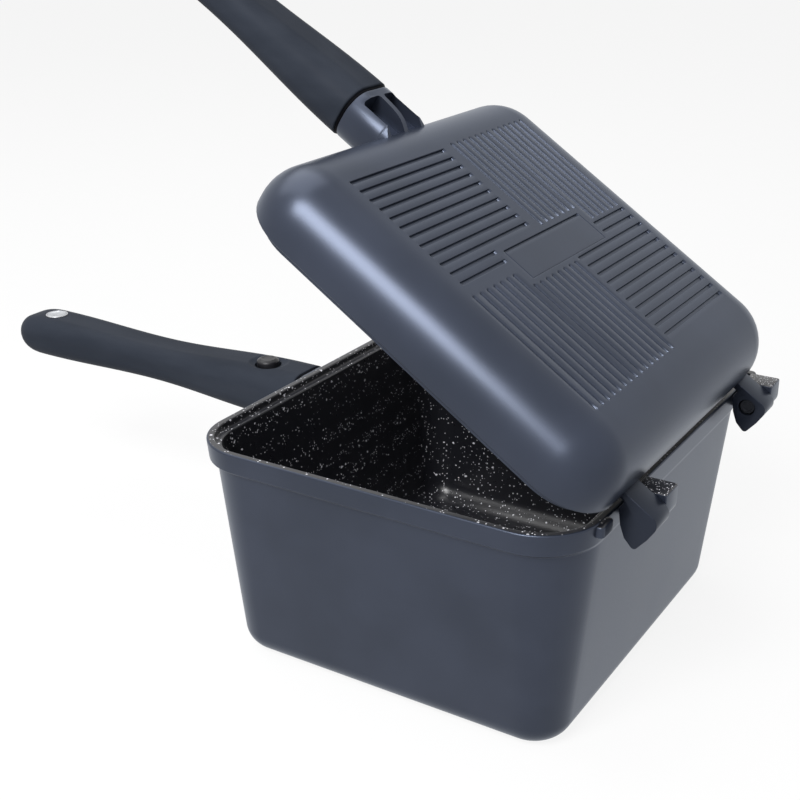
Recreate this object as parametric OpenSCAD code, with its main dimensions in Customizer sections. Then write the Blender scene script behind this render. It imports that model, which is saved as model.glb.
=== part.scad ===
// Double sided flip pan: a deep cast pan with a hinged griddle lid and two long grips.
// Frame, in mm: +Z up, the pan's flat base on z = 0 about the origin, hinge at +X, grips at -X.
// The lid and all that it carries are drawn closed, then swung about the hinge to lid_open.

/* [Deep pan] */
// Length of the rim, hinge side to grip side
rim_l = 190; // [186:1:196]
// Width of the rim, across the grips
rim_w = 209.5; // [208:0.5:214]
// Height of the rim above the base
pan_h = 108.5; // [106:0.5:112]
// Plan radius of the rim's corners
rim_r = 28; // [27:0.5:29]
// How far each wall leans in from rim to base
draft = 10.9; // [9:0.1:11]
// Radius where the walls turn into the base
base_r = 12.2; // [10:0.2:13]
// Height of the thicker band below the rim
collar_h = 11; // [9:0.5:14]
// How far the band stands out from the wall
collar_step = 2.3; // [1.5:0.1:2.6]
// Width of the rim's top lip
lip_w = 3.6; // [3:0.1:4]
// Depth of the ledge inside the lip
ledge_drop = 3.2; // [2.6:0.1:4]
// Width of the ledge inside the lip
ledge_w = 3; // [2.4:0.1:3.4]
// Thickness of the floor
floor_t = 5; // [4:0.5:6]
// Radius where the inside walls turn into the floor
inner_r = 11; // [9:0.5:12]

/* [Griddle lid] */
// Lid opening angle as drawn
lid_open = 33.5; // [25:0.5:40]
// Width of the lid, across the grips
lid_w = 204.2; // [203:0.2:206]
// Gap between the closed lid and the rim
lid_gap = 0.4; // [0.3:0.1:0.6]
// Height of the lid above its own rim
lid_h = 28; // [27:0.5:30]
// How far the lid stands back from the pan's hinge side
lid_back = 1.34; // [1.2:0.02:1.6]
// Radius of the lid's soft shoulder
shoulder_r = 24; // [22:0.5:25]
// Plan radius of the lid's corners
lid_r = 25.5; // [25:0.5:27]
// Thickness of the lid's wall at its mouth
lid_wall = 5; // [4.4:0.1:5.4]
// Thickness of the lid's flat top
lid_top_t = 5; // [4:0.5:6]
// Depth of the locating rib that drops inside the lip
rib_drop = 2; // [1.4:0.1:2.4]
// Gap between the locating rib and the lip
rib_gap = 1; // [0.9:0.1:1.2]
// Thickness of the locating rib
rib_t = 2.2; // [1.8:0.1:2.6]

/* [Groove pattern] */
// Pitch of all the grooves
groove_p = 5.54; // [5.4:0.02:5.6]
// Half length of the pattern, hinge side to grip side
pat_x = 67.6; // [64:0.2:68]
// Half width of the pattern
pat_y = 76.6; // [74:0.2:77]
// Middle of the pattern, hinge side to grip side
pat_mid = -2; // [-3:0.1:0]
// Middle of the pattern, across the grips
pat_side = 1.6; // [0:0.1:1.6]
// Grooves across the lid in each plain quarter
wide_n = 12; // [8:1:12]
// Grooves along the lid in each ribbed quarter
fine_n = 14; // [10:1:14]
// Width of a groove across the lid
wide_w = 1.9; // [1.4:0.1:2.2]
// Width of a groove along the lid
fine_w = 1.6; // [1.2:0.1:2]
// Depth of the grooves
groove_d = 0.9; // [0.5:0.1:1.2]
// Length of the bare plate in the middle
plate_l = 78; // [60:1:80]
// Width of the bare plate
plate_w = 20; // [16:1:22]

/* [Hinge] */
// Hinge line beyond the hinge side of the rim
hinge_out = 9.3; // [9.1:0.1:9.6]
// Hinge line below the rim
hinge_drop = 2.3; // [2:0.1:2.6]
// Diameter of the hinge pins
pin_d = 7.8; // [7:0.2:8]
// Radial running gap round the pins
pin_fit = 0.07; // [0.05:0.01:0.09]
// Thickness of a lid arm along the hinge line
arm_t = 14; // [12:0.5:15]
// Front face of the front arm
arm_front = -67.5; // [-69:0.5:-65]
// Front face of the rear arm
arm_rear = 66.5; // [64:0.5:67]
// Thickness of a pan lug along the hinge line
lug_t = 13; // [11:0.5:14]
// Gap between an arm and its lug
side_gap = 0.5; // [0.4:0.1:0.7]
// How far the pins are pressed into the lugs
pin_press = 10; // [8:0.5:12]

/* [Grips] */
// Joint plane between the lid's bracket and its grip, from the middle
ring_x = 112; // [110:0.5:114]
// How much nearer to the pan the lower grip starts
lower_in = 11; // [9:0.5:12]
// How far below the rim a grip's middle line meets that joint
grip_drop = 15.4; // [15:0.1:16.5]
// Length of a grip
grip_l = 189; // [182:1:200]
// Upward tilt of the grip along its length
grip_tilt = 0.4; // [0.2:0.1:0.6]
// Half width of the flat core that the grip's section rounds off
core_w = 5.6; // [5:0.1:6]
// Half height of that core
core_t = 1.6; // [1.4:0.1:2]
// Rounding of the grip beside the bracket
round_root = 11.6; // [11:0.1:11.7]
// Rounding of the grip at its waist
round_waist = 7.8; // [7.5:0.1:8.6]
// Rounding of the grip near its end
round_end = 9.6; // [9.6:0.1:9.7]
// Distance from the joint to the waist
waist_at = 88; // [78:1:94]
// Length of the grip's round end
tip_l = 22; // [18:1:23]
// Thickness of the dark joint ring
ring_t = 1.6; // [1.2:0.1:2]
// How far the joint ring stands back from the grip
ring_back = 0.9; // [0.6:0.1:1.2]

/* [Grip fittings] */
// Distance from the joint to the release button
button_at = 14; // [13:0.5:16]
// Diameter of the release button
button_d = 11.6; // [10:0.2:12]
// Depth of the thumb dish round the button
dish_d = 2.6; // [2:0.2:3]
// How far the button stands out of the dish
button_up = 4.6; // [4:0.2:5]
// Travel of the button
button_travel = 3; // [2:0.5:3]
// Gap round the button and its plunger
button_gap = 0.4; // [0.3:0.05:0.45]
// Diameter of the latch plunger
plunger_d = 4; // [3.6:0.2:4.4]
// Width of the steel tang
tang_w = 12; // [10:0.5:13]
// Thickness of the steel tang
tang_t = 4; // [3:0.5:4.5]
// Length of tang inside the grip
tang_l = 44; // [36:1:52]
// Diameter of the magnet
magnet_d = 10.4; // [9:0.2:11]
// Distance from the joint to the magnet
magnet_at = 165; // [158:1:168]
// Thickness of the magnet
magnet_t = 3; // [2:0.5:4]
// Wall of the steel cup round the magnet
cup_t = 1; // [0.8:0.1:1.4]

/* [Hidden] */
$fn = 64;
eps = 0.01;
hinge_x = rim_l / 2 + hinge_out;
hinge_z = pan_h - hinge_drop;
lean = draft / pan_h;
flush_step = 0.3;
ledge_in = lip_w + ledge_w;
pin_r = pin_d / 2;
bore_r = pin_r + pin_fit;
lid_z = pan_h + lid_gap;
lid_top = lid_z + lid_h;
lid_x0 = -rim_l / 2 - 0.25;
lid_x1 = rim_l / 2 - lid_back;
lug_root = rim_l / 2 - 5.7;
grip_z = pan_h - grip_drop;
keeper_y = rim_w / 2 - 9.55;
keeper_t = 5;
tang_z = grip_z - 1.8;
lower_x = ring_x - lower_in;
button_x = -ring_x - button_at;
magnet_x = -ring_x - magnet_at;

// ---- shared shapes ----

// Half of a drafted wall's outline with its lower corner rounded: x from the middle, y up.
// Each wall leans by the same slope, so a corner is a true cone standing on the same lines.
module wall_half(reach, z0, z1, r) {
    turn = atan(lean);
    foot = reach - lean * (pan_h - z0);
    mid = foot - r * (1 - sin(turn)) / cos(turn);
    top = reach - lean * (pan_h - z1);
    polygon([[0, z0], [mid, z0], [mid + r * cos(turn), z0 + r - r * sin(turn)], [top, z1], [0, z1]]);
    translate([mid, z0 + r])
        intersection() {
            circle(r = r);
            translate([0, -r - 1])
                square(r + 1);
        }
}

// The same wall without a rounded foot
module plain_half(reach, z0, z1) {
    polygon([[0, z0], [reach - lean * (pan_h - z0), z0], [reach - lean * (pan_h - z1), z1], [0, z1]]);
}

// A drafted box with rounded corners: x0 to x1 and y0 to y1 are its faces at rim height.
// round_foot = 0 leaves the lower edge sharp.
module drafted_box(x0, x1, y0, y1, r, z0, z1, round_foot = 0) {
    cx = [x0 + r, x1 - r];
    cy = [y0 + r, y1 - r];
    // four corner cones
    for (x = cx, y = cy)
        translate([x, y, 0])
            rotate_extrude()
                if (round_foot > 0) wall_half(r, z0, z1, round_foot);
                else plain_half(r, z0, z1);
    // the long walls between them, one run each way
    for (side = [0, 1]) {
        translate([cx[side], cy[1], 0])
            rotate([90, 0, 0])
                linear_extrude(cy[1] - cy[0])
                    mirror([1 - side, 0])
                        if (round_foot > 0) wall_half(r, z0, z1, round_foot);
                        else plain_half(r, z0, z1);
        translate([cx[0], cy[side], 0])
            rotate([90, 0, 90])
                linear_extrude(cx[1] - cx[0])
                    mirror([1 - side, 0])
                        if (round_foot > 0) wall_half(r, z0, z1, round_foot);
                        else plain_half(r, z0, z1);
    }
    translate([cx[0] - eps, cy[0] - eps, z0])
        cube([cx[1] - cx[0] + 2 * eps, cy[1] - cy[0] + 2 * eps, z1 - z0]);
}

// A pillow: upright sides, a quarter round shoulder of radius r and a flat top.
module pillow(x0, x1, y0, y1, corner, z0, z1, r) {
    cx = [x0 + corner, x1 - corner];
    cy = [y0 + corner, y1 - corner];
    for (x = cx, y = cy)
        translate([x, y, 0])
            rotate_extrude()
                pillow_half(corner, z0, z1, r);
    for (side = [0, 1]) {
        translate([cx[side], cy[1], 0])
            rotate([90, 0, 0])
                linear_extrude(cy[1] - cy[0])
                    mirror([1 - side, 0])
                        pillow_half(corner, z0, z1, r);
        translate([cx[0], cy[side], 0])
            rotate([90, 0, 90])
                linear_extrude(cx[1] - cx[0])
                    mirror([1 - side, 0])
                        pillow_half(corner, z0, z1, r);
    }
    translate([cx[0] - eps, cy[0] - eps, z0])
        cube([cx[1] - cx[0] + 2 * eps, cy[1] - cy[0] + 2 * eps, z1 - z0]);
}

module pillow_half(reach, z0, z1, r) {
    translate([0, z0])
        square([reach, z1 - r - z0]);
    translate([0, z0])
        square([reach - r, z1 - z0]);
    translate([reach - r, z1 - r])
        intersection() {
            circle(r = r);
            square(r + 1);
        }
}

// Swings a closed-lid shape open about the hinge line
module swing() {
    translate([hinge_x, 0, hinge_z])
        rotate([0, lid_open, 0])
            translate([-hinge_x, 0, -hinge_z])
                children();
}

// Turns a lower grip's part over the rim plane to make the upper one
module turn_over() {
    swing()
        translate([0, 0, 2 * pan_h])
            rotate([180, 0, 0])
                children();
}

// ---- deep pan ----

// A claw-shaped lug on the hinge line, its front face at y
module lug(y) {
    top = pan_h + 4.5;
    foot = pan_h - 9.2;
    outer = hinge_x + 6.7;
    nose = 6;
    translate([0, y + lug_t, 0])
        rotate([90, 0, 0])
            linear_extrude(lug_t) {
                polygon([[lug_root, foot], [outer - nose, foot], [outer, foot + nose],
                         [outer, top - 0.8], [outer - 0.8, top], [rim_l / 2 + 2.2, top],
                         [rim_l / 2, pan_h], [lug_root, pan_h]]);
                translate([outer - nose, foot + nose])
                    circle(r = nose);
                translate([outer - 0.8, top - 0.8])
                    circle(r = 0.8);
            }
}

// The socket that a grip is fixed to at joint_x, drawn for the pan
module bracket(joint_x, wall_x) {
    half_w = core_w + round_root - 0.4;
    half_t = core_t + round_root - 0.4;
    r = round_root - 0.4;
    from = -joint_x + ring_t;
    reach = joint_x - ring_t - wall_x + 6;
    // the rounded bar of the socket
    for (y = [-core_w, core_w], z = [-core_t, core_t])
        translate([from, y, grip_z + z])
            rotate([0, 90, 0])
                cylinder(h = reach, r = r);
    translate([from, -half_w, grip_z - core_t])
        cube([reach, 2 * half_w, 2 * core_t]);
    translate([from, -core_w, grip_z - half_t])
        cube([reach, 2 * core_w, 2 * half_t]);
}

// Two pockets in the lid's bracket, open away from the cooking side, with a rib between
module bracket_pockets(wall_x) {
    pocket_w = core_w + round_root - 3.6 - 1.8;
    for (side = [-1, 1])
        translate([-ring_x + ring_t + 4.2, side > 0 ? 1.8 : -1.8 - pocket_w, grip_z - 20])
            cube([ring_x - ring_t - wall_x - 4.2 - 3.2, pocket_w, 15.4]);
}

module deep_pan() {
    inner_x = rim_l / 2 - ledge_in;
    inner_y = rim_w / 2 - ledge_in;
    lip_x = rim_l / 2 - lip_w;
    lip_y = rim_w / 2 - lip_w;
    wall_x = rim_l / 2 - collar_step - 1.2;
    color("#424758")
        difference() {
            union() {
                drafted_box(-rim_l / 2 + collar_step, rim_l / 2 - flush_step, -rim_w / 2 + collar_step,
                            rim_w / 2 - collar_step, rim_r, 0, pan_h - collar_h / 2, base_r);
                // the band below the rim
                drafted_box(-rim_l / 2, rim_l / 2, -rim_w / 2, rim_w / 2, rim_r,
                            pan_h - collar_h + 2, pan_h);
                // its underside slopes back to the wall
                drafted_box(-rim_l / 2 + collar_step / 2, rim_l / 2 - flush_step / 2,
                            -rim_w / 2 + collar_step / 2, rim_w / 2 - collar_step / 2, rim_r,
                            pan_h - collar_h, pan_h - collar_h / 2);
                lug(arm_front + arm_t + side_gap);
                lug(arm_rear + arm_t + side_gap);
                // keeper beside the front arm
                translate([lug_root, arm_front - 14.5, pan_h - 5])
                    cube([7.4, 11, 4.6]);
                // keeper on the rear corner, its upper half clear of the lid's path
                translate([rim_l / 2 - 15, keeper_y, pan_h - 4.5])
                    cube([18, keeper_t, 4.1]);
                translate([rim_l / 2 - 6.4, keeper_y, pan_h - 4.5])
                    cube([9.4, keeper_t, 8]);
                bracket(lower_x, wall_x);
            }
            // the cooking space, then the ledge inside the lip
            drafted_box(-inner_x, inner_x, -inner_y, inner_y, rim_r - ledge_in, floor_t,
                        pan_h + 0.5, inner_r);
            drafted_box(-lip_x, lip_x, -lip_y, lip_y, rim_r - lip_w, pan_h - ledge_drop, pan_h + 0.5);
            // pressed seats for the pins, closed at the back
            for (y = [arm_front, arm_rear])
                translate([hinge_x, y + arm_t + side_gap + pin_press, hinge_z])
                    rotate([90, 0, 0])
                        cylinder(h = pin_press + 1, r = pin_r);
            // the seat for the tang
            translate([-lower_x, -tang_w / 2, tang_z - tang_t / 2])
                cube([lower_x - wall_x + 0.6, tang_w, tang_t]);
        }
}

// A stub pin pressed into a lug, its free end in the lid's arm
module hinge_pin(y, reach) {
    color("#9a9da3")
        translate([hinge_x, y + arm_t + side_gap + pin_press, hinge_z])
            rotate([90, 0, 0])
                cylinder(h = pin_press + side_gap + reach, r = pin_r);
}

module hinge_pin_front() {
    hinge_pin(arm_front, arm_t - 4);
}

module hinge_pin_rear() {
    hinge_pin(arm_rear, arm_t - 1.2);
}

// ---- lid ----

// A lid arm with its front face at y: reach out to the hinge line, a round outer
// corner, a pointed chin that stops the lid, and a slope that clears the pan.
module arm(y) {
    top = 6.5;
    out = 8.2;
    translate([hinge_x, y + arm_t, hinge_z])
        rotate([90, 0, 0])
            linear_extrude(arm_t) {
                polygon([[-hinge_out - lid_back - 4, top], [out - 4.5, top], [out, top - 4.5], [out, -3],
                         [7.3, -10], [6, -10.8], [1, -9.6], [-3.6, -6.2], [-8.2, -1],
                         [-8.3, hinge_drop + lid_gap + 0.4],
                         [-hinge_out - lid_back - 4, hinge_drop + lid_gap + 0.4]]);
                translate([out - 4.5, top - 4.5])
                    circle(r = 4.5);
            }
}

// Grooves across and along the lid in opposite quarters, round a bare plate
module grooves() {
    x0 = pat_mid - pat_x;
    x1 = pat_mid + pat_x;
    y0 = pat_side - pat_y;
    y1 = pat_side + pat_y;
    deep = lid_top - groove_d;
    // across the lid: front quarter by the grips, rear quarter by the hinge
    for (i = [0:wide_n - 1]) {
        translate([x0 + 1.6 + i * groove_p, y0, deep])
            cube([wide_w, pat_y, 3]);
        translate([x1 - 5.6 - i * groove_p - wide_w, pat_side + 5, deep])
            cube([wide_w, pat_y - 5, 3]);
    }
    // along the lid: front quarter by the hinge, rear quarter by the grips
    for (i = [0:fine_n]) {
        translate([pat_mid + 1.8, y0 - fine_w / 2 + i * groove_p, deep])
            cube([pat_x, fine_w, 3]);
        if (i > 0 && i < fine_n)
            translate([x0, y1 - fine_w / 2 - i * groove_p + 2.4, deep])
                cube([pat_x - 2, fine_w, 3]);
    }
}

module griddle_lid() {
    open_x0 = lid_x0 + lid_wall;
    open_x1 = lid_x1 - lid_wall;
    open_y = lid_w / 2 - lid_wall;
    rib_x = rim_l / 2 - lip_w - rib_gap;
    rib_y = rim_w / 2 - lip_w - rib_gap;
    rib_r = rim_r - lip_w - rib_gap;
    wall_x = rim_l / 2 - 4;
    color("#464b5c")
        swing()
            difference() {
                union() {
                    difference() {
                        union() {
                            pillow(lid_x0, lid_x1, -lid_w / 2, lid_w / 2, lid_r, lid_z, lid_top, shoulder_r);
                            translate([0, 0, 2 * pan_h])
                                rotate([180, 0, 0])
                                    bracket(ring_x, wall_x - 12);
                        }
                        // the griddle's hollow
                        pillow(open_x0, open_x1, -open_y, open_y, lid_r - lid_wall, lid_z - 1,
                               lid_top - lid_top_t, shoulder_r - lid_wall);
                        difference() {
                            grooves();
                            translate([pat_mid - plate_w / 2, 3 - plate_l / 2, lid_top - 3])
                                cube([plate_w, plate_l, 6]);
                        }
                        // the plate's upper edge
                        translate([pat_mid - plate_w / 2 + 1.4, 6 - plate_l / 2, lid_top - groove_d])
                            cube([1.4, plate_l - 4.5, 3]);
                    }
                    // the rib that finds the lip
                    difference() {
                        pillow(-rib_x, rib_x, -rib_y, rib_y, rib_r, pan_h - rib_drop, lid_z + 3, 0.5);
                        pillow(-rib_x + rib_t, rib_x - rib_t, -rib_y + rib_t, rib_y - rib_t,
                               rib_r - rib_t, pan_h - rib_drop - 1, lid_z + 5, 0.5);
                    }
                    arm(arm_front);
                    arm(arm_rear);
                }
                translate([0, 0, 2 * pan_h])
                    rotate([180, 0, 0]) {
                        bracket_pockets(wall_x - 6);
                        translate([-ring_x, -tang_w / 2, tang_z - tang_t / 2])
                            cube([ring_x - wall_x + 0.6, tang_w, tang_t]);
                    }
                // pin bores: blind in the front arm, through in the rear arm
                translate([hinge_x, arm_front + arm_t + 1, hinge_z])
                    rotate([90, 0, 0])
                        cylinder(h = arm_t - 3 + 1, r = bore_r);
                translate([hinge_x, arm_rear + arm_t + 1, hinge_z])
                    rotate([90, 0, 0])
                        cylinder(h = arm_t + 2, r = bore_r);
            }
}

// ---- grip parts, drawn for the pan ----

module tang(wall_x) {
    color("#b4b7bb")
        difference() {
            translate([-ring_x - tang_l, -tang_w / 2, tang_z - tang_t / 2])
                cube([ring_x + tang_l - wall_x + 0.6, tang_w, tang_t]);
            translate([button_x, 0, tang_z - tang_t])
                cylinder(h = 2 * tang_t, r = plunger_d / 2 + button_gap);
        }
}

module pan_tang() {
    tang(rim_l / 2 - collar_step - 1.2);
}

module lid_tang() {
    turn_over()
        tang(rim_l / 2 - 4);
}

// The dark plate between bracket and grip
module ring(joint_x) {
    r = round_root - 0.4 - ring_back;
    color("#16171b")
        difference() {
            union() {
                for (y = [-core_w, core_w], z = [-core_t, core_t])
                    translate([-joint_x, y, grip_z + z])
                        rotate([0, 90, 0])
                            cylinder(h = ring_t, r = r);
                translate([-joint_x, -core_w - r, grip_z - core_t])
                    cube([ring_t, 2 * (core_w + r), 2 * core_t]);
                translate([-joint_x, -core_w, grip_z - core_t - r])
                    cube([ring_t, 2 * core_w, 2 * (core_t + r)]);
            }
            translate([-joint_x - 1, -tang_w / 2, tang_z - tang_t / 2])
                cube([ring_t + 2, tang_w, tang_t]);
        }
}

module lower_ring() {
    ring(lower_x);
}

module upper_ring() {
    turn_over()
        ring(ring_x);
}

// Rounding radius of the grip at distance s from the joint: full at the joint, slim at
// the waist, fuller towards the end, then closed by a round tip.
function ease(t) = (1 - cos(180 * max(0, min(1, t)))) / 2;
function grip_round(s) =
    let (body = s < waist_at
                ? round_root + (round_waist - round_root) * ease(s / waist_at)
                : round_waist + (round_end - round_waist) * ease((s - waist_at) / (grip_l - waist_at - 26)),
         k = max(0, (s - grip_l + tip_l) / tip_l))
    body * sqrt(max(0.0004, 1 - k * k));
grip_steps = 18;
tip_steps = 8;
grip_s = concat([for (i = [0:grip_steps]) i * (grip_l - tip_l) / grip_steps],
                [for (i = [1:tip_steps]) grip_l - tip_l + tip_l * sin(90 * i / tip_steps)]);

// Outline of the rounding along the grip, as a half profile from offset core outwards,
// carried on towards the pan by more
module grip_profile(core, more) {
    polygon(concat([[0, -1 - more], [core + round_root, -1 - more]], [for (s = grip_s) [core + grip_round(s), s]],
                   [[0, grip_l]]));
}

// The grip's outside: four lathed corners round a flat core, all true surfaces
module grip_skin(more) {
    translate([-ring_x, 0, grip_z])
        rotate([0, grip_tilt - 90, 0]) {
            for (y = [-core_w, core_w], z = [-core_t, core_t])
                translate([z, y, 0])
                    rotate_extrude()
                        grip_profile(0, more);
            // runs between the corners, over the width and over the height
            for (flip = [0, 1]) {
                translate([0, core_w, 0])
                    rotate([90, 0, 0])
                        linear_extrude(2 * core_w)
                            mirror([flip, 0])
                                grip_profile(core_t, more);
                translate([-core_t, 0, 0])
                    rotate([90, 0, 90])
                        linear_extrude(2 * core_t)
                            mirror([flip, 0])
                                grip_profile(core_w, more);
            }
        }
}

// Height of the grip's top face at the button and at the magnet, and of the thumb dish
button_top = grip_z + core_t + grip_round(button_at) + button_at * sin(grip_tilt);
button_base = button_top - dish_d;
magnet_top = grip_z + core_t + grip_round(magnet_at) + magnet_at * sin(grip_tilt);
well_floor = tang_z + tang_t / 2 + 3;
cup_r = magnet_d / 2 + cup_t;

module grip(more) {
    color("#33373f")
        difference() {
            grip_skin(more);
            // squared off at the joint
            translate([more - ring_x, -30, grip_z - 30])
                cube([10, 60, 60]);
            // socket for the tang, with a little slack at its end
            translate([-ring_x - tang_l - 0.5, -tang_w / 2, tang_z - tang_t / 2])
                cube([tang_l + 1 + more, tang_w, tang_t]);
            // thumb dish
            translate([button_x, 0, button_base + 24])
                sphere(r = 24);
            // well for the button, and the plunger's way down through the tang
            translate([button_x, 0, well_floor])
                cylinder(h = 30, r = button_d / 2 + button_gap);
            translate([button_x, 0, grip_z - 9.4])
                cylinder(h = 20, r = plunger_d / 2 + button_gap);
            // seat for the magnet's cup
            translate([magnet_x, 0, magnet_top - magnet_t - cup_t + 0.4])
                cylinder(h = 20, r = cup_r);
        }
}

module lower_grip() {
    grip(lower_in);
}

module upper_grip() {
    turn_over()
        grip(0);
}

module cup() {
    foot = magnet_top - magnet_t - cup_t + 0.4;
    color("#8d9096")
        difference() {
            translate([magnet_x, 0, foot])
                cylinder(h = magnet_t + cup_t, r = cup_r);
            translate([magnet_x, 0, foot + cup_t])
                cylinder(h = magnet_t + 1, r = magnet_d / 2);
        }
}

module lower_cup() {
    cup();
}

module upper_cup() {
    turn_over()
        cup();
}

module magnet() {
    color("#a5aab2")
        translate([magnet_x, 0, magnet_top - magnet_t + 0.4])
            cylinder(h = magnet_t, r = magnet_d / 2);
}

module lower_magnet() {
    magnet();
}

module upper_magnet() {
    turn_over()
        magnet();
}

// A domed button, hollow below for its spring
module button() {
    r = button_d / 2;
    foot = well_floor + button_travel + 0.4;
    top = button_base + button_up;
    crown = 3.2;
    dome = (r * r + crown * crown) / (2 * crown);
    color("#141518")
        translate([button_x, 0, 0])
            rotate_extrude()
                difference() {
                    union() {
                        translate([0, foot])
                            square([r, top - crown - foot]);
                        intersection() {
                            translate([0, top - dome])
                                circle(r = dome);
                            translate([0, foot])
                                square([r, 20]);
                        }
                    }
                    translate([-1, foot - 1])
                        square([r - 0.6, button_base - 0.4 - foot + 1]);
                    translate([-1, foot - 1])
                        square([1 + plunger_d / 2, button_base + 1.8 - foot + 1]);
                }
}

module lower_button() {
    button();
}

module upper_button() {
    turn_over()
        button();
}

// The steel pin under the button that locks the grip to the tang
module plunger() {
    foot = grip_z - 9.4 + button_travel + 0.8;
    color("#c3c6ca")
        translate([button_x, 0, foot])
            cylinder(h = button_base + 1.8 - foot, r = plunger_d / 2);
}

module lower_plunger() {
    plunger();
}

module upper_plunger() {
    turn_over()
        plunger();
}

// The return spring at its pressed length: a wire of six sides wound up the plunger
module spring() {
    turns = 3;
    per_turn = 20;
    wire_r = 0.35;
    coil_r = 3.1;
    height = button_base - 0.4 - button_travel - well_floor - 2 * wire_r - 0.5;
    count = turns * per_turn;
    rings = [for (i = [0:count])
        let (a = 360 * i / per_turn, z = well_floor + wire_r + height * i / count)
        [for (k = [0:5])
            [(coil_r + wire_r * cos(60 * k)) * cos(a), (coil_r + wire_r * cos(60 * k)) * sin(a),
             z + wire_r * sin(60 * k)]]];
    points = [for (ring = rings) for (p = ring) p];
    sides = [for (i = [0:count - 1]) for (k = [0:5])
        let (a = 6 * i + k, b = 6 * i + (k + 1) % 6)
        each [[a, b, b + 6], [a, b + 6, a + 6]]];
    ends = concat([for (k = [1:4]) [0, k + 1, k]],
                  [for (k = [1:4]) [6 * count, 6 * count + k, 6 * count + k + 1]]);
    color("#c9ccd0")
        translate([button_x, 0, 0])
            polyhedron(points = points, faces = concat(sides, ends));
}

module lower_spring() {
    spring();
}

module upper_spring() {
    turn_over()
        spring();
}

deep_pan();
hinge_pin_front();
hinge_pin_rear();
pan_tang();
lower_ring();
lower_grip();
lower_cup();
lower_magnet();
lower_spring();
lower_button();
lower_plunger();
griddle_lid();
lid_tang();
upper_ring();
upper_grip();
upper_cup();
upper_magnet();
upper_spring();
upper_button();
upper_plunger();
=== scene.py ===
import math
import bmesh
import bpy
import numpy as np
from mathutils import Matrix, Vector


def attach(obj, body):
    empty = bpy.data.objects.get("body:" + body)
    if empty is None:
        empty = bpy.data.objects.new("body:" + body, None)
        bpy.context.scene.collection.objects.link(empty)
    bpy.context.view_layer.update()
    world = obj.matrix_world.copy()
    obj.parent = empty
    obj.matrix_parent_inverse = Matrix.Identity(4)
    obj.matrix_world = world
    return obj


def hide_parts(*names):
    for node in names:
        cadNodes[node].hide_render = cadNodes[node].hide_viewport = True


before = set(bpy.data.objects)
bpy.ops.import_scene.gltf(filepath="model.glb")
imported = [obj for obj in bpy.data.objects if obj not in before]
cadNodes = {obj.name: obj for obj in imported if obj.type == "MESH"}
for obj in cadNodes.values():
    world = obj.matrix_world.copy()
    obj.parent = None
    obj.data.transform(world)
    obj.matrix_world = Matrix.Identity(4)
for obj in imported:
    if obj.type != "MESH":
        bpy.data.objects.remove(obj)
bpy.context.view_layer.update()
mm = 0.001
print("frame loaded,", len(cadNodes), "solids")

# sizes that several pieces share, in millimetres
pan = {
    "length": 190.0, "width": 209.5, "height": 108.5, "cornerRadius": 28.0, "draft": 10.9,
    "baseRadius": 12.2, "bandHeight": 11.0, "bandStep": 2.3, "bandSlope": 1.6, "hingeSideStep": 0.3,
    "lip": 3.6, "ledgeDrop": 3.2, "ledge": 3.0, "floor": 5.0, "insideRadius": 11.0, "middle": -1.0,
}
lid = {
    "x0": -95.25, "x1": 93.66, "halfWidth": 102.1, "cornerRadius": 25.5, "mouth": 108.9,
    "top": 136.9, "shoulder": 24.0, "wall": 5.0, "skin": 5.0, "openAngle": 33.5,
}
hinge = {"x": 104.3, "z": 106.2, "armThick": 14.0, "armFront": -67.5, "armRear": 66.5,
         "lugThick": 13.0, "sideGap": 0.5, "pinRadius": 3.9}
grip = {
    "jointX": -112.0, "lowerJointX": -101.0, "z": 93.1, "length": 189.0, "tilt": 0.4, "coreWide": 5.6,
    "coreHigh": 1.6, "roundRoot": 11.6, "roundWaist": 7.8, "roundEnd": 9.6, "waistAt": 88.0,
    "fullBefore": 26.0, "tip": 22.0, "buttonAt": 14.0, "magnetAt": 165.0, "dish": 2.6, "dishBall": 24.0,
    "tangDrop": 1.8, "tangThick": 4.0, "wellLift": 3.0,
}


# Leaves points where they are: the place of whatever belongs to the pan.
def asIs(points):
    return points


# Swings closed-lid points open: a turn by openAngle about the hinge line, which runs along y.
def swingOpen(points):
    turn = math.radians(lid["openAngle"])
    dx, dz = points[:, 0] - hinge["x"], points[:, 2] - hinge["z"]
    return np.stack([hinge["x"] + dx * math.cos(turn) + dz * math.sin(turn), points[:, 1],
                     hinge["z"] - dx * math.sin(turn) + dz * math.cos(turn)], 1)


# Turns lower-grip points over the rim plane (y and z change sign about it), then swings them open.
def turnOver(points):
    return swingOpen(np.stack([points[:, 0], -points[:, 1], 2 * pan["height"] - points[:, 2]], 1))


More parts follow.
